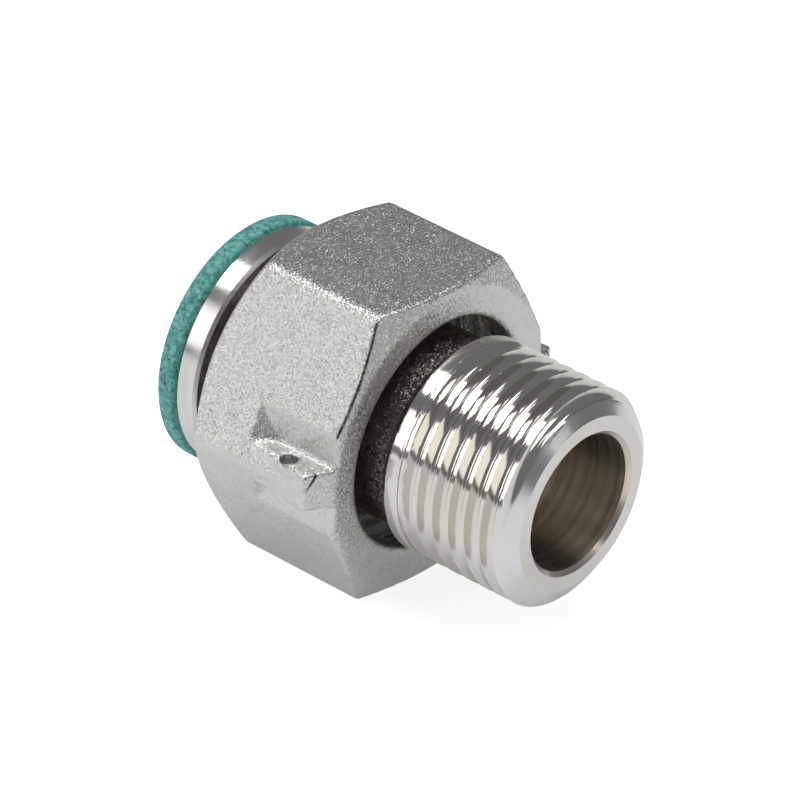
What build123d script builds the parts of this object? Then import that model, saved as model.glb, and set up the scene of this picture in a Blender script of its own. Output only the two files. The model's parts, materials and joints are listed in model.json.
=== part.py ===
from build123d import *
from math import cos, radians, sin, sqrt, tan
import os

# Half union: a male-threaded tailpiece, its captive hexagon union nut and a flat seal.
# +X runs along the pipe axis from the sealing face to the threaded end, and +Z is up
# with the nut lying on one flat. The origin is on the axis at the sealing face.

# Pipe threads: 14 turns to the inch on both, male G 1/2 and female G 3/4
thread_pitch = 1.814
male_thread_d = 20.955
female_thread_d = 26.441
thread_depth_ratio = 0.640327

# Tailpiece
tail_length = 38.0
neck_wall = 2.7
bore_edge = 0.4
thread_length = 14.0
end_chamfer_length = 1.3
end_chamfer_depth = 2.0
collar_width = 2.4
collar_edge = 0.3
collar_fillet = 0.8
collar_clearance = 0.35

# Seal
seal_thickness = 2.0
seal_width = 3.5
seal_clearance = 0.06

# Union nut
nut_length = 16.5
nut_gap = 2.6
flat_wall = 1.53
corner_radius = 1.2
front_face_inset = 0.55
front_chamfer_angle = 24.0
rear_face_inset = 0.75
rear_chamfer_angle = 35.0
hole_clearance = 0.72
hole_rim_chamfer = 0.4
front_wall = 2.4
relief_width = 1.6
relief_depth = 0.25
mouth_chamfer_depth = 0.3

# Sealing-wire lugs on the two corners that lie level with the axis
lug_thickness = 3.8
lug_edge_radius = 0.5
lug_proud = 0.3
lug_root_setback = 9.1
wire_hole_d = 1.65
wire_hole_setback = 4.3
wire_hole_edge = 0.85

# Pockets forged into the nut above and below each lug
pocket_wall = 0.88
pocket_foot_setback = 6.6
pocket_plan_angle = 41.0
pocket_lean_angle = 40.0

# Tailpiece and seal sizes that follow from the ones above
thread_depth = thread_depth_ratio * thread_pitch
male_thread_r = male_thread_d / 2
female_thread_r = female_thread_d / 2
female_crest_r = female_thread_r - thread_depth
neck_r = male_thread_r - thread_depth
bore_r = neck_r - neck_wall
thread_start_x = tail_length - thread_length
collar_r = female_crest_r - collar_clearance
seal_r = female_crest_r - seal_clearance

# Nut sizes that follow
across_flats = female_thread_d + 2 * flat_wall
corner_r = across_flats / sqrt(3)
nut_rear_x = collar_width + nut_gap
nut_front_x = nut_rear_x + nut_length
front_face_r = across_flats / 2 - front_face_inset
rear_face_r = across_flats / 2 - rear_face_inset
hole_r = male_thread_r + hole_clearance
shoulder_x = nut_front_x - front_wall
relief_x = shoulder_x - relief_width
relief_r = female_thread_r + relief_depth
mouth_r = female_thread_r + mouth_chamfer_depth
mouth_end_x = nut_rear_x + mouth_r - female_crest_r

# Lug and pocket places that follow
lug_half = lug_thickness / 2
lug_reach = corner_r + lug_proud
lug_root_x = nut_front_x - lug_root_setback
lug_root_y = corner_r - lug_half / sqrt(3)
wire_hole_x = nut_front_x - wire_hole_setback
wire_hole_y = lug_reach - wire_hole_edge - wire_hole_d / 2
pocket_y = female_thread_r + pocket_wall
pocket_foot_x = nut_front_x - pocket_foot_setback

# The end chamfers run out past everything on the nut at this radius
outline_r = lug_reach + lug_proud
front_chamfer_x = nut_front_x - (outline_r - front_face_r) * tan(radians(front_chamfer_angle))
rear_chamfer_x = nut_rear_x + (outline_r - rear_face_r) * tan(radians(rear_chamfer_angle))


# The tailpiece is turned in one: collar, waisted neck, threaded end and straight bore
with BuildPart() as tailpiece:
    with BuildSketch(Plane.XY):
        with BuildLine():
            Polyline(
                (0, bore_r),
                (0, collar_r - collar_edge),
                (collar_edge, collar_r),
                (collar_width - collar_edge, collar_r),
                (collar_width, collar_r - collar_edge),
                (collar_width, neck_r + collar_fillet),
            )
            RadiusArc(
                (collar_width, neck_r + collar_fillet),
                (collar_width + collar_fillet, neck_r),
                collar_fillet,
            )
            Polyline(
                (collar_width + collar_fillet, neck_r),
                (thread_start_x - thread_depth, neck_r),
                (thread_start_x, male_thread_r),
                (tail_length - end_chamfer_length, male_thread_r),
                (tail_length, male_thread_r - end_chamfer_depth),
                (tail_length, bore_r + bore_edge),
                (tail_length - bore_edge, bore_r),
                (0, bore_r),
            )
        make_face()
    revolve(axis=Axis.X)
tailpiece.part.label = "tailpiece"


# Flat ring seal on the collar's face
with BuildPart() as flat_seal:
    with BuildSketch(Plane.YZ.offset(-seal_thickness)):
        Circle(seal_r)
        Circle(seal_r - seal_width, mode=Mode.SUBTRACT)
    extrude(amount=seal_thickness)
flat_seal.part.label = "flat_seal"


# Pocket cutters: a level foot over the lug, an upright inner wall, and a rear wall
# that slopes in plan and leans back, four in all by mirroring
foot_line = Vector(cos(radians(pocket_plan_angle)), sin(radians(pocket_plan_angle)), 0)
lean_line = Vector(-sin(radians(pocket_lean_angle)), 0, cos(radians(pocket_lean_angle)))
rear_wall = Plane(
    origin=(pocket_foot_x, -pocket_y, lug_half),
    x_dir=foot_line,
    z_dir=foot_line.cross(lean_line),
)
with BuildPart() as pockets:
    with BuildSketch(Plane.XY.offset(lug_half)):
        with Locations((nut_front_x, -pocket_y)):
            Rectangle(2 * nut_length, across_flats, align=(Align.CENTER, Align.MAX))
    extrude(amount=across_flats / 2)
    split(bisect_by=rear_wall, keep=Keep.TOP)
    mirror(about=Plane.XY)
    mirror(about=Plane.XZ)


# Lugs: a level plate on each of the two corners, flaring out towards the front
with BuildPart() as lugs:
    with BuildSketch(Plane.XY.offset(-lug_half)):
        with BuildLine():
            Polyline(
                (lug_root_x, -lug_root_y),
                (nut_front_x, -lug_reach),
                (nut_front_x, -pocket_y),
                (lug_root_x, -pocket_y),
                close=True,
            )
        make_face()
    extrude(amount=lug_thickness)
    outer_edges = lugs.edges().filter_by(Axis.Z, reverse=True).group_by(Axis.Y)[0]
    fillet(outer_edges, lug_edge_radius)
    mirror(about=Plane.XZ)


# The turned outline that chamfers both ends of the hexagon
with BuildPart() as turned_outline:
    with BuildSketch(Plane.XY):
        with BuildLine():
            Polyline(
                (nut_rear_x, 0),
                (nut_rear_x, rear_face_r),
                (rear_chamfer_x, outline_r),
                (front_chamfer_x, outline_r),
                (nut_front_x, front_face_r),
                (nut_front_x, 0),
                close=True,
            )
        make_face()
    revolve(axis=Axis.X)


# Union nut: a forged hexagon with its pockets and lugs, turned at both ends,
# and a stepped bore for the collar, the female thread and the tail's way out
with BuildPart() as union_nut:
    with BuildSketch(Plane.YZ.offset(nut_rear_x)):
        RegularPolygon(across_flats / 2, 6, major_radius=False)
    extrude(amount=nut_length)
    fillet(union_nut.edges().filter_by(Axis.X), corner_radius)
    add(pockets.part, mode=Mode.SUBTRACT)
    add(lugs.part)
    add(turned_outline.part, mode=Mode.INTERSECT)
    with BuildSketch(Plane.XY):
        with BuildLine():
            Polyline(
                (nut_rear_x, 0),
                (nut_rear_x, mouth_r),
                (mouth_end_x, female_crest_r),
                (relief_x, female_crest_r),
                (relief_x, relief_r),
                (shoulder_x, relief_r),
                (shoulder_x, hole_r),
                (nut_front_x - hole_rim_chamfer, hole_r),
                (nut_front_x, hole_r + hole_rim_chamfer),
                (nut_front_x, 0),
                close=True,
            )
        make_face()
    revolve(axis=Axis.X, mode=Mode.SUBTRACT)
    with BuildSketch(Plane.XY.offset(-lug_half)):
        with Locations((wire_hole_x, -wire_hole_y), (wire_hole_x, wire_hole_y)):
            Circle(wire_hole_d / 2)
    extrude(amount=lug_thickness, mode=Mode.SUBTRACT)
union_nut.part.label = "union_nut"


os.makedirs("parts", exist_ok=True)
export_step(tailpiece.part, "parts/tailpiece.step")
export_step(flat_seal.part, "parts/flat_seal.step")
export_step(union_nut.part, "parts/union_nut.step")
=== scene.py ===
import json
import math

import bpy
from mathutils import Matrix, Vector, noise


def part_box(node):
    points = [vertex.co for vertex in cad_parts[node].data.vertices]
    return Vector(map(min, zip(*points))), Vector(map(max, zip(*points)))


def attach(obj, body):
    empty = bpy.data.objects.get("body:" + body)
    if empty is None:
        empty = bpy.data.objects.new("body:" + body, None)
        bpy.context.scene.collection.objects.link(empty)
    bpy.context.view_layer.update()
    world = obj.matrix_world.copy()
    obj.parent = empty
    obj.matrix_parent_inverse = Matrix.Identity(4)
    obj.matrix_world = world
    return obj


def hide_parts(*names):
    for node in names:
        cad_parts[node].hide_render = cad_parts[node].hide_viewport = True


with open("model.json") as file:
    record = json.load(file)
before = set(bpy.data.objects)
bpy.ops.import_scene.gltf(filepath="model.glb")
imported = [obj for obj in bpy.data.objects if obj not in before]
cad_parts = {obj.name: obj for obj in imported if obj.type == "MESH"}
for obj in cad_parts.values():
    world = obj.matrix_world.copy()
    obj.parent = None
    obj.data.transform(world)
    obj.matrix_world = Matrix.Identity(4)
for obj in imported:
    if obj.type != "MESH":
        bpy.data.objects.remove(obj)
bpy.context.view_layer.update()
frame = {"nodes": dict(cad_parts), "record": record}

# A half union: a plated tailpiece with a cut pipe thread, a forged and blasted union nut,
# and a green pressed-fibre seal. +X runs along the pipe axis to the threaded end, +Z is up.

MM = 0.001
PER_MM = 1000.0

# How many steps a spun form has round the axis, and how near two points are merged
STEPS = 336
MERGE = 0.0005 * MM

# Sizes that the frame gives
mounts = {mount["name"]: mount for mount in frame["record"]["mounts"]}
THREAD_R = mounts["male_thread"]["dims"]["r_mm"] * MM
BORE_R = mounts["bore"]["dims"]["r_mm"] * MM
TAIL_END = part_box("tailpiece")[1].x
COLLAR_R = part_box("tailpiece")[1].z
SEAL_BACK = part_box("flat_seal")[0].x
SEAL_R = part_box("flat_seal")[1].z
NUT_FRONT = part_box("union_nut")[1].x
FLOOR_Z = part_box("union_nut")[0].z
FLAT_R = -FLOOR_Z

# The tailpiece's turned form
PITCH = 1.814 * MM
THREAD_DEPTH = 1.16 * MM
NECK_R = 9.316 * MM
THREAD_START = 24.0 * MM
COLLAR_WIDTH = 2.4 * MM
COLLAR_EDGE = 0.3 * MM
COLLAR_FILLET = 0.8 * MM
BORE_EDGE = 0.4 * MM
END_CHAMFER_LENGTH = 1.3 * MM
END_CHAMFER_DEPTH = 2.0 * MM
RAMP_START = THREAD_START - THREAD_DEPTH
END_PAINT_MARGIN = 0.03 * MM
TAIL_SMOOTH_ANGLE = math.radians(32)

# The cut of the male thread: a narrow crest with torn edges and a round groove
CREST_HALF = 0.20 * MM
GROOVE_DEPTH = 0.86 * MM
GROOVE_SQUARENESS = 2.4
RUNOUT_FROM = 24.9 * MM
RUNOUT_TO = 26.6 * MM

# Where the crests stand, and how far round the section is drawn, in turns of the helix
CREST_PHASE = 0.2
SECTION_TURN = 0.25

# Rows of points on each side of a crest's middle, in mm, closest where its edge is
CREST_ROWS = [0.09, 0.15, 0.18, 0.20, 0.22, 0.27, 0.35, 0.45, 0.56, 0.67, 0.79]

# Nicks and burrs along the crest's edges: their size, spacing and where the noise makes them
BURR = 0.02 * MM
NICK = 0.05 * MM
TORN_REACH = 0.03 * MM
TORN_LENGTH = 0.5 * MM
TORN_PER_RADIAN = 45
NICK_NOISE = (0.40, 0.55)
BURR_NOISE = (0.35, 0.50)
BURR_SHIFT = Vector((9, 4, 7))

# The nut's female thread and skin
FEMALE_CREST_R = 12.059 * MM
FEMALE_REACH = 0.2 * MM
FEMALE_FROM = 6.4 * MM
FEMALE_TO = 17.2 * MM
NUT_GRAIN = 0.218 * MM
SOFTEN_FACTOR = 0.5
SOFTEN_PASSES = 3
HOLE_REACH = 0.17 * MM

# Painted shade: a dark ragged line in the crease where the nut's leaning flats end in its front chamfer
FLAT_LEAN = math.radians(30)
FRONT_FACE_R = FLAT_R - 0.55 * MM
FRONT_CHAMFER_SLOPE = math.tan(math.radians(24))
CREASE_RAGGED = 0.18 * MM
CREASE_NOISE_PER_M = 4000.0
CREASE_BEGINS = (-0.22 * MM, -0.08 * MM)
CREASE_ENDS = (0.06 * MM, 0.14 * MM)
CREASE_ABOVE = (0.0, 1.0 * MM)
CREASE_SHADE_COLOUR = (0.03, 0.028, 0.027, 1)

# The seal's section
SEAL_BORE_R = 8.5 * MM
SEAL_EDGE = 0.25 * MM
SEAL_FACE_SPANS = 12
SEAL_SMOOTH_ANGLE = math.radians(50)


def deselect():
    """Leaves nothing selected, so that an operator acts on one piece alone."""
    bpy.ops.object.select_all(action="DESELECT")


def draw_section(name, points):
    """A chain of edges through (x, radius) points, drawn straight above the pipe axis."""
    deselect()
    bpy.ops.mesh.primitive_plane_add(size=MM)
    piece = bpy.context.object
    piece.name = piece.data.name = name
    bpy.ops.object.mode_set(mode="EDIT")
    bpy.ops.mesh.select_all(action="SELECT")
    bpy.ops.mesh.merge(type="CENTER")
    bpy.ops.transform.translate(value=(points[0][0], 0, points[0][1]))
    for (x0, r0), (x1, r1) in zip(points, points[1:]):
        bpy.ops.mesh.extrude_region_move(TRANSFORM_OT_translate={"value": (x1 - x0, 0, r1 - r0)})
    bpy.ops.mesh.select_all(action="SELECT")
    return piece


def spin_section():
    """Spins the selected section once round the pipe axis."""
    bpy.ops.mesh.spin(steps=STEPS, angle=math.tau, center=(0, 0, 0), axis=(1, 0, 0))


def close_up():
    """Merges the seam of the piece in edit mode and turns its faces outwards."""
    bpy.ops.mesh.select_all(action="SELECT")
    bpy.ops.mesh.remove_doubles(threshold=MERGE)
    bpy.ops.mesh.normals_make_consistent(inside=False)
    bpy.ops.object.mode_set(mode="OBJECT")


def arc(centre_x, centre_r, radius, start, end, count):
    """Points (x, radius) on an arc, its angles in degrees from +X towards outwards."""
    angles = [math.radians(start + (end - start) * i / count) for i in range(count + 1)]
    return [(centre_x + radius * math.cos(a), centre_r + radius * math.sin(a)) for a in angles]


def span(x0, x1, radius, count):
    """Evenly spaced points along a plain cylinder, without the first."""
    return [(x0 + (x1 - x0) * i / count, radius) for i in range(1, count + 1)]


def turned_body():
    """Neck, collar, bore and end face of the tailpiece, spun round the pipe axis."""
    section = [(RAMP_START, NECK_R)]
    section += span(RAMP_START, COLLAR_WIDTH + COLLAR_FILLET, NECK_R, count=30)
    fillet_centre = (COLLAR_WIDTH + COLLAR_FILLET, NECK_R + COLLAR_FILLET)
    section += arc(*fillet_centre, COLLAR_FILLET, start=270, end=180, count=6)[1:]
    section += [
        (COLLAR_WIDTH, COLLAR_R - COLLAR_EDGE),
        (COLLAR_WIDTH - COLLAR_EDGE, COLLAR_R),
        (COLLAR_EDGE, COLLAR_R),
        (0, COLLAR_R - COLLAR_EDGE),
        (0, BORE_R),
    ]
    section += span(0, TAIL_END - BORE_EDGE, BORE_R, count=24)
    section += [(TAIL_END, BORE_R + BORE_EDGE), (TAIL_END, THREAD_R - END_CHAMFER_DEPTH)]
    body = draw_section("turned_body", section)
    spin_section()
    bpy.ops.mesh.select_all(action="SELECT")
    bpy.ops.mesh.remove_doubles(threshold=MERGE)
    bpy.ops.object.mode_set(mode="OBJECT")
    return body


def smooth_step(low, high, value):
    """0 below low, 1 above high, and a soft rise between."""
    t = min(1, max(0, (value - low) / (high - low)))
    return t * t * (3 - 2 * t)


def groove_depth(offset):
    """How deep the round thread groove is, this far along the axis from a crest's middle."""
    across = (PITCH / 2 - offset) / (PITCH / 2 - CREST_HALF)
    return GROOVE_DEPTH * (1 - min(1, across) ** GROOVE_SQUARENESS)


def crest_offset(x, angle):
    """How far a point lies along the axis from the nearest crest of a right-hand thread."""
    turn = (x / PITCH - angle / math.tau - CREST_PHASE) % 1
    return (turn - 0.5) * PITCH


def end_limit(x):
    """The radius of the end chamfer at this place along the axis."""
    return THREAD_R - END_CHAMFER_DEPTH + (TAIL_END - x) * END_CHAMFER_DEPTH / END_CHAMFER_LENGTH


def cut_thread(point):
    """The place of a point of the blank tube once the male thread is cut."""
    x = min(TAIL_END, max(RAMP_START, point.x))
    angle = math.atan2(point.z, point.y)
    offset = abs(crest_offset(point.x, angle))
    depth = groove_depth(offset) * smooth_step(RUNOUT_FROM, RUNOUT_TO, x)
    if abs(offset - CREST_HALF) < TORN_REACH:
        around = (TORN_PER_RADIAN * math.cos(angle), TORN_PER_RADIAN * math.sin(angle))
        along = Vector((x / TORN_LENGTH, *around))
        depth += NICK * smooth_step(*NICK_NOISE, noise.noise(along))
        depth -= BURR * smooth_step(*BURR_NOISE, noise.noise(along + BURR_SHIFT))
    radius = THREAD_R - BURR - depth
    radius = min(radius, NECK_R + x - RAMP_START, end_limit(x))
    return Vector((x, radius * math.cos(angle), radius * math.sin(angle)))


def threaded_end():
    """The male thread: a tube twisted along the helix, then cut to the thread's form."""
    rows = sorted([0, PITCH / 2] + [side * MM * row for row in CREST_ROWS for side in (-1, 1)])
    turns = range(int(RAMP_START / PITCH) - 2, int(TAIL_END / PITCH) + 2)
    first_crest = (0.5 + SECTION_TURN + CREST_PHASE) * PITCH
    section = [(first_crest + turn * PITCH + row, THREAD_R) for turn in turns for row in rows]
    tube = draw_section("threaded_end", section)
    bpy.ops.object.mode_set(mode="OBJECT")
    twist = tube.modifiers.new("twist", "SCREW")
    twist.axis = "X"
    twist.screw_offset = PITCH
    twist.steps = twist.render_steps = STEPS
    bpy.ops.object.modifier_apply(modifier="twist")
    for vertex in tube.data.vertices:
        vertex.co = cut_thread(vertex.co)
    return tube


def make_tailpiece():
    """The whole tailpiece as one closed mesh."""
    body = turned_body()
    thread = threaded_end()
    deselect()
    thread.select_set(True)
    body.select_set(True)
    bpy.context.view_layer.objects.active = body
    bpy.ops.object.join()
    body.name = body.data.name = "plated_tailpiece"
    bpy.ops.object.mode_set(mode="EDIT")
    close_up()
    bpy.ops.object.shade_smooth_by_angle(angle=TAIL_SMOOTH_ANGLE)
    return body


def cut_female_thread(point):
    """The place of a point of the nut's skin once its inside thread is cut."""
    radius = math.hypot(point.y, point.z)
    on_wall = abs(radius - FEMALE_CREST_R) < FEMALE_REACH
    if not (on_wall and FEMALE_FROM < point.x < FEMALE_TO):
        return point.copy()
    angle = math.atan2(point.z, point.y)
    depth = groove_depth(abs(crest_offset(point.x, angle)))
    depth *= 1 - smooth_step(FEMALE_TO - PITCH / 2, FEMALE_TO, point.x)
    return Vector((point.x, *(Vector((point.y, point.z)) * (FEMALE_CREST_R + depth) / radius)))


def round_wire_hole(point):
    """The place of a point of the nut's skin once the wire holes are true circles again."""
    for name in ("wire_hole_left", "wire_hole_right"):
        hole_x, hole_y, _ = mounts[name]["pos_m"]
        radius = mounts[name]["dims"]["r_mm"] * MM
        away = Vector((point.x - hole_x, point.y - hole_y))
        if abs(away.length - radius) < HOLE_REACH:
            away = away.normalized() * radius
            return Vector((hole_x + away.x, hole_y + away.y, point.z))
    return point


def make_nut():
    """The forged nut: the frame's own form, softened, then its thread and wire holes cut."""
    source = frame["nodes"]["union_nut"]
    nut = bpy.data.objects.new("forged_nut", source.data.copy())
    nut.data.name = "forged_nut"
    nut.data.materials.clear()
    bpy.context.collection.objects.link(nut)
    deselect()
    nut.select_set(True)
    bpy.context.view_layer.objects.active = nut
    bpy.ops.object.mode_set(mode="EDIT")
    close_up()
    skin = nut.modifiers.new("skin", "REMESH")
    skin.mode = "VOXEL"
    skin.voxel_size = NUT_GRAIN
    bpy.ops.object.modifier_apply(modifier="skin")
    soften = nut.modifiers.new("soften", "SMOOTH")
    soften.factor = SOFTEN_FACTOR
    soften.iterations = SOFTEN_PASSES
    bpy.ops.object.modifier_apply(modifier="soften")
    for vertex in nut.data.vertices:
        vertex.co = round_wire_hole(cut_female_thread(vertex.co))
    bpy.ops.object.shade_smooth()
    return nut


def make_seal():
    """The pressed-fibre ring, its section spun round the pipe axis."""
    rim_r = SEAL_R - SEAL_EDGE
    ring = [(0, rim_r), (-SEAL_EDGE, SEAL_R)]
    ring += span(-SEAL_EDGE, SEAL_BACK + SEAL_EDGE, SEAL_R, count=10)
    ring += [(SEAL_BACK, rim_r)]
    for i in range(1, SEAL_FACE_SPANS + 1):
        ring += [(SEAL_BACK, rim_r + (SEAL_BORE_R - SEAL_R + SEAL_EDGE) * i / SEAL_FACE_SPANS)]
    ring += [(0, SEAL_BORE_R), (0, rim_r)]
    seal = draw_section("fibre_seal", ring)
    spin_section()
    close_up()
    bpy.ops.object.shade_smooth_by_angle(angle=SEAL_SMOOTH_ANGLE)
    return seal


# Helpers for materials

def link(tree, source, target):
    """Joins an output socket to an input socket."""
    tree.links.new(source, target)


def add_node(tree, kind, **settings):
    """A shader node with its properties and unlinked inputs set by name."""
    made = tree.nodes.new(kind)
    for name, value in settings.items():
        if hasattr(made, name):
            setattr(made, name, value)
        else:
            made.inputs[name].default_value = value
    return made


def new_material(name):
    """An empty node material, its tree and its Principled BSDF."""
    material = bpy.data.materials.new(name)
    material.use_nodes = True
    tree = material.node_tree
    return material, tree, tree.nodes["Principled BSDF"]


def make_group(name, inputs, outputs):
    """An empty node group with float inputs {name: default} and named outputs {name: type}."""
    group = bpy.data.node_groups.new(name, "ShaderNodeTree")
    for label, value in inputs.items():
        socket = group.interface.new_socket(label, in_out="INPUT", socket_type="NodeSocketFloat")
        socket.default_value = value
    for label, kind in outputs.items():
        group.interface.new_socket(label, in_out="OUTPUT", socket_type=kind)
    return group, group.nodes.new("NodeGroupInput"), group.nodes.new("NodeGroupOutput")


def use_group(tree, group, **values):
    """Places a node group and sets its inputs, with spaces written as underscores."""
    made = tree.nodes.new("ShaderNodeGroup")
    made.node_tree = group
    for name, value in values.items():
        made.inputs[name.replace("_", " ")].default_value = value
    return made


def math_node(tree, operation, a, b=None):
    """A Math node on sockets or plain numbers; returns its output."""
    made = tree.nodes.new("ShaderNodeMath")
    made.operation = operation
    for slot, value in zip(made.inputs, (a, b)):
        if value is None:
            continue
        if isinstance(value, (int, float)):
            slot.default_value = value
        else:
            link(tree, value, slot)
    return made.outputs[0]


def vector_node(tree, operation, a, b=None, scale=None):
    """A Vector Math node on sockets or constant vectors; returns its vector output."""
    made = tree.nodes.new("ShaderNodeVectorMath")
    made.operation = operation
    for slot, value in zip(made.inputs, (a, b)):
        if value is None:
            continue
        if isinstance(value, tuple):
            slot.default_value = value
        else:
            link(tree, value, slot)
    if scale is not None:
        link(tree, scale, made.inputs["Scale"])
    return made.outputs["Vector"]


def object_place(tree):
    """The Object coordinate of the point being shaded."""
    return add_node(tree, "ShaderNodeTexCoord").outputs["Object"]


def place_axes(tree, place):
    """The three coordinates of a place, each on its own socket."""
    axes = add_node(tree, "ShaderNodeSeparateXYZ")
    link(tree, place, axes.inputs[0])
    return axes.outputs


def axis_radius(tree, y, z):
    """How far a place is from the pipe axis."""
    squares = (math_node(tree, "MULTIPLY", y, y), math_node(tree, "MULTIPLY", z, z))
    return math_node(tree, "SQRT", math_node(tree, "ADD", *squares))


def noise_at(tree, place, **settings):
    """A Noise Texture node that reads this place."""
    made = add_node(tree, "ShaderNodeTexNoise", **settings)
    link(tree, place, made.inputs["Vector"])
    return made


def ramp(tree, factor, low, high, from_value=0.0, to_value=1.0):
    """Maps a value from one range to another, clamped; returns the output."""
    made = add_node(tree, "ShaderNodeMapRange")
    made.inputs["From Min"].default_value = from_value
    made.inputs["From Max"].default_value = to_value
    made.inputs["To Min"].default_value = low
    made.inputs["To Max"].default_value = high
    link(tree, factor, made.inputs["Value"])
    return made.outputs["Result"]


def two_tone(tree, factor, low, high):
    """A colour between two, by a factor socket."""
    made = add_node(tree, "ShaderNodeMix", data_type="RGBA")
    made.inputs["A"].default_value = (*low, 1)
    made.inputs["B"].default_value = (*high, 1)
    link(tree, factor, made.inputs["Factor"])
    return made.outputs["Result"]


def bump(tree, shader, height, distance, strength=1.0):
    """A bump from a height socket into a shader's normal."""
    made = add_node(tree, "ShaderNodeBump", Strength=strength, Distance=distance)
    link(tree, height, made.inputs["Height"])
    link(tree, made.outputs["Normal"], shader.inputs["Normal"])


# Node groups that several finishes share

# How widely the lathe lines' noise is sampled round the axis, for each unit of waviness
WAVES_ROUND = 40.0

# Noise scales beside the finest one: broad lathe bands, and a blasted skin's swells and patches
BROAD_BANDS = 0.21
SWELL_SCALE = 0.8
PATCH_SCALE = 0.05

# The middle of a noise colour's range, taken off so that dimples lean every way alike
MIDDLE = (0.5, 0.5, 0.5)


def turning_lines_group():
    """Fine lines left by the lathe, running round the pipe axis on any turned face."""
    group, entry, leave = make_group(
        "Turning lines",
        {"Lines per mm": 6.0, "Waviness": 0.3},
        {"Height": "NodeSocketFloat", "Variation": "NodeSocketFloat"},
    )
    x, y, z = place_axes(group, object_place(group))
    radius = axis_radius(group, y, z)
    per_metre = math_node(group, "MULTIPLY", entry.outputs["Lines per mm"], PER_MM)
    around = math_node(group, "MULTIPLY", entry.outputs["Waviness"], WAVES_ROUND)
    cosine = math_node(group, "DIVIDE", y, radius)
    sine = math_node(group, "DIVIDE", z, radius)
    # Across the lines: along the axis on cylinders, along the radius on end faces
    travel = math_node(group, "MULTIPLY", math_node(group, "ADD", x, radius), per_metre)
    spread = add_node(group, "ShaderNodeCombineXYZ")
    link(group, travel, spread.inputs[0])
    link(group, math_node(group, "MULTIPLY", cosine, around), spread.inputs[1])
    link(group, math_node(group, "MULTIPLY", sine, around), spread.inputs[2])
    fine = noise_at(group, spread.outputs[0], Scale=1.0, Detail=3.0, Roughness=0.7)
    broad = noise_at(group, spread.outputs[0], Scale=BROAD_BANDS, Detail=2.0, Roughness=0.5)
    link(group, fine.outputs["Fac"], leave.inputs["Height"])
    link(group, broad.outputs["Fac"], leave.inputs["Variation"])
    return group


def blast_grain_group():
    """The dimpled skin that shot blasting leaves: each small cell leans its own way."""
    group, entry, leave = make_group(
        "Blast grain",
        {"Grain mm": 0.12, "Tilt": 0.5},
        {"Normal": "NodeSocketVector", "Patches": "NodeSocketFloat"},
    )
    place = object_place(group)
    scale = math_node(group, "DIVIDE", PER_MM, entry.outputs["Grain mm"])
    cells = add_node(group, "ShaderNodeTexVoronoi")
    link(group, place, cells.inputs["Vector"])
    link(group, scale, cells.inputs["Scale"])
    swells = noise_at(group, place, Detail=2.0, Roughness=0.6)
    link(group, math_node(group, "MULTIPLY", scale, SWELL_SCALE), swells.inputs["Scale"])
    lean = vector_node(group, "SUBTRACT", cells.outputs["Color"], MIDDLE)
    sway = vector_node(group, "SUBTRACT", swells.outputs["Color"], MIDDLE)
    both = vector_node(group, "ADD", lean, sway)
    push = vector_node(group, "SCALE", both, scale=entry.outputs["Tilt"])
    upright = add_node(group, "ShaderNodeNewGeometry").outputs["Normal"]
    leaned = vector_node(group, "NORMALIZE", vector_node(group, "ADD", upright, push))
    patches = noise_at(group, place, Detail=2.0)
    link(group, math_node(group, "MULTIPLY", scale, PATCH_SCALE), patches.inputs["Scale"])
    link(group, leaned, leave.inputs["Normal"])
    link(group, patches.outputs["Fac"], leave.inputs["Patches"])
    return group


# Finishes

# Turned metal: which way its streaks lie, and how wavy its lines are unless told otherwise
QUARTER_TURN = 0.25
USUAL_WAVINESS = 0.3

# The seal's fibre: colours, the noise that mottles and creases it, and its surface
FIBRE_DEEP = (0.04, 0.26, 0.225)
FIBRE_PALE = (0.24, 0.62, 0.56)
FIBRE_FLECK = (0.03, 0.15, 0.13, 1)
MOTTLE_PER_M = 1500.0
MOTTLE_NOISE = (0.36, 0.64)
FELTING_PER_M = 2600.0
FELTING_DISTORTION = 1.2
FLECK_NOISE = (0.36, 0.46)
FIBRE_ROUGHNESS = 0.75
FIBRE_RELIEF = 0.12 * MM
FIBRE_BUMP = 0.8


def turned_finish(
    name, lines_group, low, high, lines_per_mm, depth, roughness, streak, waviness=USUAL_WAVINESS
):
    """Plated metal with lathe lines, its colour and roughness varying between two values."""
    material, tree, shader = new_material(name)
    lines = use_group(tree, lines_group, Lines_per_mm=lines_per_mm, Waviness=waviness)
    shader.inputs["Metallic"].default_value = 1.0
    shader.inputs["Anisotropic"].default_value = streak
    shader.inputs["Anisotropic Rotation"].default_value = QUARTER_TURN
    round_axis = add_node(tree, "ShaderNodeTangent", direction_type="RADIAL", axis="X")
    link(tree, round_axis.outputs["Tangent"], shader.inputs["Tangent"])
    variation = lines.outputs["Variation"]
    link(tree, two_tone(tree, variation, low, high), shader.inputs["Base Color"])
    link(tree, ramp(tree, variation, *roughness), shader.inputs["Roughness"])
    bump(tree, shader, lines.outputs["Height"], depth)
    return material


def blasted_finish(name, grain_group, low, high, grain_mm, tilt, roughness):
    """Shot-blasted plated metal: every dimple tilts the surface its own way."""
    material, tree, shader = new_material(name)
    grains = use_group(tree, grain_group, Grain_mm=grain_mm, Tilt=tilt)
    shader.inputs["Metallic"].default_value = 1.0
    patches = grains.outputs["Patches"]
    link(tree, two_tone(tree, patches, low, high), shader.inputs["Base Color"])
    link(tree, ramp(tree, patches, *roughness), shader.inputs["Roughness"])
    link(tree, grains.outputs["Normal"], shader.inputs["Normal"])
    return material


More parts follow.
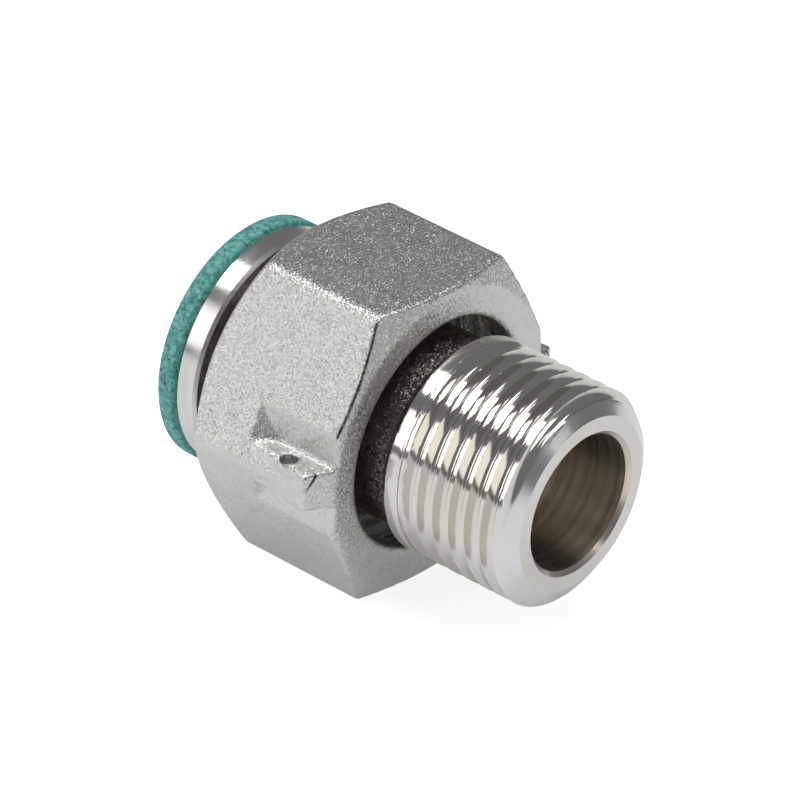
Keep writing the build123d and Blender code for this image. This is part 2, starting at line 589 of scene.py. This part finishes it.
def side_flat_distance(tree, place, side):
    """How far a place is from one pair of the nut's leaning flats, above zero outside them."""
    across = add_node(tree, "ShaderNodeVectorMath", operation="DOT_PRODUCT")
    link(tree, place, across.inputs[0])
    across.inputs[1].default_value = (0, math.cos(FLAT_LEAN), side * math.sin(FLAT_LEAN))
    from_axis = math_node(tree, "ABSOLUTE", across.outputs["Value"])
    return math_node(tree, "SUBTRACT", from_axis, FLAT_R)


def front_chamfer_distance(tree, x, y, z):
    """How far a place is past the nut's front chamfer, along the axis."""
    outwards = math_node(tree, "SUBTRACT", axis_radius(tree, y, z), FRONT_FACE_R)
    rise = math_node(tree, "MULTIPLY", outwards, FRONT_CHAMFER_SLOPE)
    return math_node(tree, "SUBTRACT", math_node(tree, "ADD", x, rise), NUT_FRONT)


def paint_crease_shade(material):
    """Paints shade into the crease where the nut's leaning flats meet its turned front chamfer, as a dark
    ragged line on the upper flats.
    """
    tree = material.node_tree
    shader = tree.nodes["Principled BSDF"]
    place = object_place(tree)
    x, y, z = place_axes(tree, place)
    flats = math_node(
        tree,
        "MAXIMUM",
        side_flat_distance(tree, place, 1),
        side_flat_distance(tree, place, -1),
    )
    chamfer = front_chamfer_distance(tree, x, y, z)
    ragged = noise_at(tree, place, Scale=CREASE_NOISE_PER_M, Detail=2.0)
    centred = math_node(tree, "SUBTRACT", ragged.outputs["Fac"], 0.5)
    shift = math_node(tree, "MULTIPLY", centred, CREASE_RAGGED)
    flats = math_node(tree, "ADD", flats, shift)
    chamfer = math_node(tree, "ADD", chamfer, shift)
    shade_mask = math_node(
        tree,
        "MULTIPLY",
        ramp(tree, flats, 0.0, 1.0, *CREASE_BEGINS),
        ramp(tree, flats, 1.0, 0.0, *CREASE_ENDS),
    )
    shade_mask = math_node(tree, "MULTIPLY", shade_mask, ramp(tree, z, 0.0, 1.0, *CREASE_ABOVE))
    at_front = ramp(tree, chamfer, 0.0, 1.0, *CREASE_BEGINS)
    shade_mask = math_node(tree, "MULTIPLY", shade_mask, at_front)
    # Painted shade: the mask darkens the base colour along the crease
    shade_mix = add_node(tree, "ShaderNodeMix", data_type="RGBA")
    link(tree, shade_mask, shade_mix.inputs["Factor"])
    link(tree, shader.inputs["Base Color"].links[0].from_socket, shade_mix.inputs["A"])
    shade_mix.inputs["B"].default_value = CREASE_SHADE_COLOUR
    link(tree, shade_mix.outputs["Result"], shader.inputs["Base Color"])
    return material


def fibre_finish():
    """Green pressed fibre with dark flecks and a matted, creased surface."""
    material, tree, shader = new_material("green_fibre")
    place = object_place(tree)
    cloud = noise_at(tree, place, Scale=MOTTLE_PER_M, Detail=4.0, Roughness=0.7)
    felting = noise_at(
        tree,
        place,
        Scale=FELTING_PER_M,
        Detail=3.0,
        Roughness=0.7,
        Distortion=FELTING_DISTORTION,
    )
    flecks = ramp(tree, felting.outputs["Fac"], 0.0, 1.0, *FLECK_NOISE)
    mottle = ramp(tree, cloud.outputs["Fac"], 0.0, 1.0, *MOTTLE_NOISE)
    body = two_tone(tree, mottle, FIBRE_DEEP, FIBRE_PALE)
    mix = add_node(tree, "ShaderNodeMix", data_type="RGBA")
    mix.inputs["A"].default_value = FIBRE_FLECK
    link(tree, body, mix.inputs["B"])
    link(tree, flecks, mix.inputs["Factor"])
    link(tree, mix.outputs["Result"], shader.inputs["Base Color"])
    shader.inputs["Roughness"].default_value = FIBRE_ROUGHNESS
    bump(tree, shader, felting.outputs["Fac"], FIBRE_RELIEF, FIBRE_BUMP)
    return material


def paint_faces(piece, materials, choose):
    """Gives each face the material that choose(centre) names."""
    names = list(materials)
    for name in names:
        piece.data.materials.append(materials[name])
    for face in piece.data.polygons:
        face.material_index = names.index(choose(face.center))


def tail_region(centre):
    """Which of the tailpiece's finishes a face at this place has."""
    radius = math.hypot(centre.y, centre.z)
    if radius < BORE_R + BORE_EDGE / 2:
        return "bore"
    if radius > end_limit(centre.x) - END_PAINT_MARGIN:
        return "end"
    if centre.x > RAMP_START:
        return "thread"
    if centre.x > COLLAR_WIDTH + COLLAR_FILLET / 2:
        return "neck"
    return "collar"


# Build the pieces

lathe_lines = turning_lines_group()
blast_grain = blast_grain_group()

tail = make_tailpiece()
paint_faces(tail, {
    "collar": turned_finish(
        "turned_collar",
        lathe_lines,
        low=(0.60, 0.59, 0.57),
        high=(0.78, 0.77, 0.75),
        lines_per_mm=7.0,
        depth=0.011 * MM,
        roughness=(0.16, 0.30),
        streak=0.6,
    ),
    # The neck's dark brown is partly painted shade for the recess under the nut, and partly its rough
    # blasted skin
    "neck": blasted_finish(
        "rough_neck_painted_shade",
        blast_grain,
        low=(0.19, 0.16, 0.14),
        high=(0.31, 0.27, 0.23),
        grain_mm=0.09,
        tilt=0.7,
        roughness=(0.20, 0.34),
    ),
    "thread": turned_finish(
        "cut_thread",
        lathe_lines,
        low=(0.66, 0.64, 0.60),
        high=(0.74, 0.72, 0.68),
        lines_per_mm=6.0,
        depth=0.0015 * MM,
        roughness=(0.07, 0.15),
        streak=0.3,
    ),
    "end": turned_finish(
        "polished_end",
        lathe_lines,
        low=(0.68, 0.68, 0.68),
        high=(0.77, 0.77, 0.77),
        lines_per_mm=8.0,
        depth=0.003 * MM,
        roughness=(0.14, 0.26),
        streak=0.5,
    ),
    "bore": turned_finish(
        "bored_wall",
        lathe_lines,
        low=(0.36, 0.32, 0.26),
        high=(0.98, 0.92, 0.82),
        lines_per_mm=8.0,
        depth=0.003 * MM,
        roughness=(0.22, 0.36),
        streak=0.8,
        waviness=0.04,
    ),
}, tail_region)
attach(tail, "tailpiece")
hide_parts("tailpiece")

nut = make_nut()
nut_skin = blasted_finish(
    "blasted_nut",
    blast_grain,
    low=(0.62, 0.61, 0.59),
    high=(0.72, 0.72, 0.71),
    grain_mm=0.10,
    tilt=0.56,
    roughness=(0.33, 0.43),
)
nut.data.materials.append(paint_crease_shade(nut_skin))
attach(nut, "union_nut")
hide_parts("union_nut")

seal = make_seal()
seal.data.materials.append(fibre_finish())
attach(seal, "tailpiece")
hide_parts("flat_seal")

# Floor and light

FLOOR_SIZE = 6.0
FLOOR_COLOUR = (0.86, 0.87, 0.88, 1)
FLOOR_ROUGHNESS = 0.9
FLOOR_GLOW_SEEN = 0.75
FLOOR_GLOW_MIRRORED = 0.20
STUDIO_GREY = (0.19, 0.19, 0.20, 1)
WHITE = (1, 1, 1)
WARM_WHITE = (1, 0.985, 0.96)
LIT_CENTRE = Vector((0.016, 0, 0))
LIGHT_DISTANCE = 0.6


def make_floor():
    """A pale floor under the nut, bright where the camera sees it and greyer in reflections."""
    deselect()
    bpy.ops.mesh.primitive_plane_add(size=FLOOR_SIZE, location=(0, 0, 0))
    floor = bpy.context.object
    floor.name = "floor"
    for vertex in floor.data.vertices:
        vertex.co.z = FLOOR_Z
    paint, tree, shader = new_material("pale_floor")
    shader.inputs["Base Color"].default_value = FLOOR_COLOUR
    shader.inputs["Roughness"].default_value = FLOOR_ROUGHNESS
    shader.inputs["Emission Color"].default_value = (*WHITE, 1)
    seen = add_node(tree, "ShaderNodeLightPath").outputs["Is Camera Ray"]
    glow = ramp(tree, seen, FLOOR_GLOW_MIRRORED, FLOOR_GLOW_SEEN)
    link(tree, glow, shader.inputs["Emission Strength"])
    floor.data.materials.append(paint)
    return floor


def direction(azimuth, elevation):
    """Unit vector, azimuth in degrees from +X towards +Y."""
    a = math.radians(azimuth)
    e = math.radians(elevation)
    return Vector((math.cos(a) * math.cos(e), math.sin(a) * math.cos(e), math.sin(e)))


def softbox(name, azimuth, elevation, width, height, radiance, colour=WHITE):
    """A rectangular light that faces the object, its brightness given as radiance."""
    lamp = bpy.data.lights.new(name, "AREA")
    lamp.shape = "RECTANGLE"
    lamp.size = width
    lamp.size_y = height
    lamp.energy = radiance * width * height * math.pi
    lamp.color = colour
    box = bpy.data.objects.new(name, lamp)
    away = direction(azimuth, elevation)
    box.location = LIT_CENTRE + away * LIGHT_DISTANCE
    box.rotation_mode = "QUATERNION"
    box.rotation_quaternion = away.to_track_quat("Z", "Y")
    bpy.context.collection.objects.link(box)


def light_studio():
    """The dim grey surroundings of the studio."""
    world = bpy.data.worlds.new("studio")
    world.use_nodes = True
    world.node_tree.nodes["Background"].inputs["Color"].default_value = STUDIO_GREY
    bpy.context.scene.world = world


make_floor()
softbox("key_light", azimuth=-163, elevation=58, width=0.23, height=0.15, radiance=7.0)
softbox("left_light", azimuth=-126, elevation=22, width=0.48, height=0.34, radiance=1.5, colour=WARM_WHITE)
softbox("right_light", azimuth=2, elevation=40, width=0.12, height=0.18, radiance=1.3)
softbox("top_light", azimuth=30, elevation=84, width=0.40, height=0.40, radiance=2.8)
softbox("front_light", azimuth=21, elevation=9, width=0.16, height=0.10, radiance=4.2)
light_studio()

# Camera: where it stands round the tailpiece's end centre, and where that lies in the image

VIEW_AZIMUTH = math.radians(38.42)
VIEW_ELEVATION = math.radians(30.55)
VIEW_ROLL = math.radians(4.66)
VIEW_DISTANCE = 561.18 * MM
IMAGE_SIZE = 800
FOCAL_PIXELS = 6355.16
END_CENTRE_PIXEL = Vector((581.45, 504.31))
SENSOR_WIDTH = 36.0
CLIP_START = 0.01


def aim_camera():
    """The scene's camera, at the viewing angle, roll and framing given above."""
    lens = bpy.data.cameras.new("camera")
    lens.sensor_width = SENSOR_WIDTH
    lens.lens = FOCAL_PIXELS / IMAGE_SIZE * SENSOR_WIDTH
    lens.clip_start = CLIP_START
    camera = bpy.data.objects.new("camera", lens)
    bpy.context.collection.objects.link(camera)
    back = Vector((
        math.sin(VIEW_AZIMUTH) * math.cos(VIEW_ELEVATION),
        -math.cos(VIEW_AZIMUTH) * math.cos(VIEW_ELEVATION),
        math.sin(VIEW_ELEVATION),
    ))
    level_right = (-back).cross(Vector((0, 0, 1))).normalized()
    level_up = back.cross(level_right)
    right = math.cos(VIEW_ROLL) * level_right + math.sin(VIEW_ROLL) * level_up
    up = math.cos(VIEW_ROLL) * level_up - math.sin(VIEW_ROLL) * level_right
    image_centre = Vector((IMAGE_SIZE / 2, IMAGE_SIZE / 2))
    off_centre = (END_CENTRE_PIXEL - image_centre) * VIEW_DISTANCE / FOCAL_PIXELS
    camera.matrix_world = Matrix((right, up, back)).transposed().to_4x4()
    camera.location = (
        Vector((TAIL_END, 0, 0)) + back * VIEW_DISTANCE - right * off_centre.x + up * off_centre.y
    )
    bpy.context.scene.camera = camera


aim_camera()
bpy.context.scene.view_settings.view_transform = "Standard"
